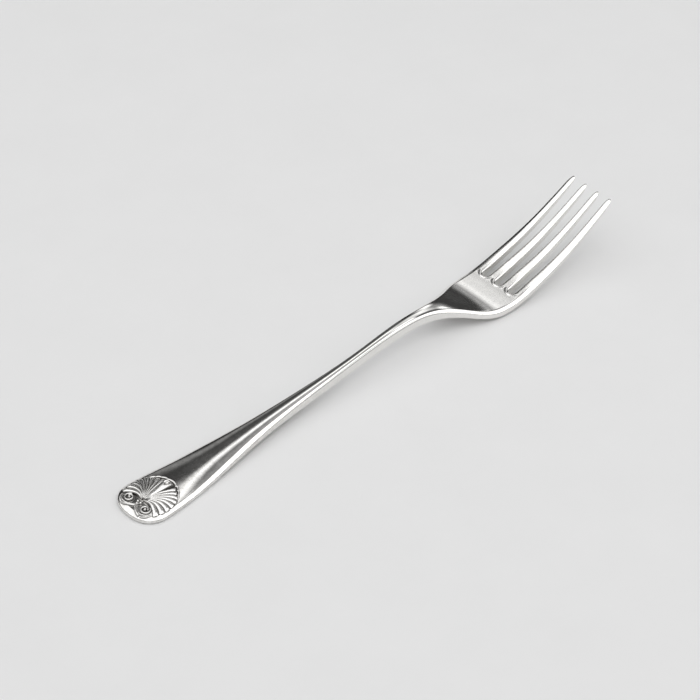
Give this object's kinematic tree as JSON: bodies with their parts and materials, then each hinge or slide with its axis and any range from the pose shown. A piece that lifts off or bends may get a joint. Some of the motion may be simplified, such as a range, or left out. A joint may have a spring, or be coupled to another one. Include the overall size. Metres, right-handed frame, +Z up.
{
  "type": "salad fork",
  "caption": "Slim tapering table fork with a dished head, curved tines and a raised shell with scrolls on its rounded handle end.",
  "frame": {"origin": "on the table under the middle of the fork's length, where it rests on its handle end and its heel", "axes": "+X from the handle end to the tine tips, +Y to the left looking that way, +Z up from the table"},
  "size_m": [0.17, 0.0188, 0.0178],
  "materials": {
    "polished_silver": "polished silver plate with fine wear scratches",
    "ornament_silver": "polished silver plate, darker in the grooves"
  },
  "bodies": {
    "root": {"terminal": "polished_silver", "shell_fan": "ornament_silver", "scroll_left": "ornament_silver", "scroll_right": "ornament_silver", "end_bracket": "ornament_silver", "stem": "polished_silver", "neck": "polished_silver", "head": "polished_silver", "tine_1": "polished_silver", "tine_2": "polished_silver", "tine_3": "polished_silver", "tine_4": "polished_silver"}
  },
  "joints": []
}
